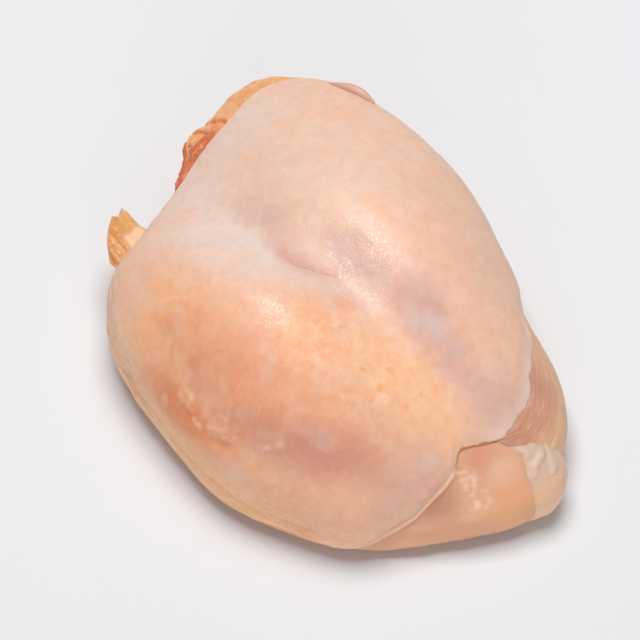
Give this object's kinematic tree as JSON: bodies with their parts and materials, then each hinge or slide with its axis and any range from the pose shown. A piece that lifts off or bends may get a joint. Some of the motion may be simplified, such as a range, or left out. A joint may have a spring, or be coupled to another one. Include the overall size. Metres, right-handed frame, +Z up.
{
  "type": "raw chicken breast with skin",
  "caption": "Whole raw chicken breast, boned, skin on, lying flat: two lobes with a shallow cleft, bare muscle and a fat-tipped flap at the tail, fat and flesh at the neck end.",
  "frame": {"origin": "on the table, under the middle of the piece's bounding box", "axes": "+X along the breastbone line towards the tail end, +Y across it towards the lobe with the bare muscle at its tail, +Z up"},
  "size_m": [0.1827, 0.1423, 0.0624],
  "materials": {
    "skin": "moist raw skin, peach to cream with pink and pale lilac areas, soft gloss",
    "muscle": "moist raw muscle, pink with pale fibres",
    "fat": "moist fat, cream to orange"
  },
  "bodies": {
    "root": {"chicken_breast": "skin"}
  },
  "joints": []
}
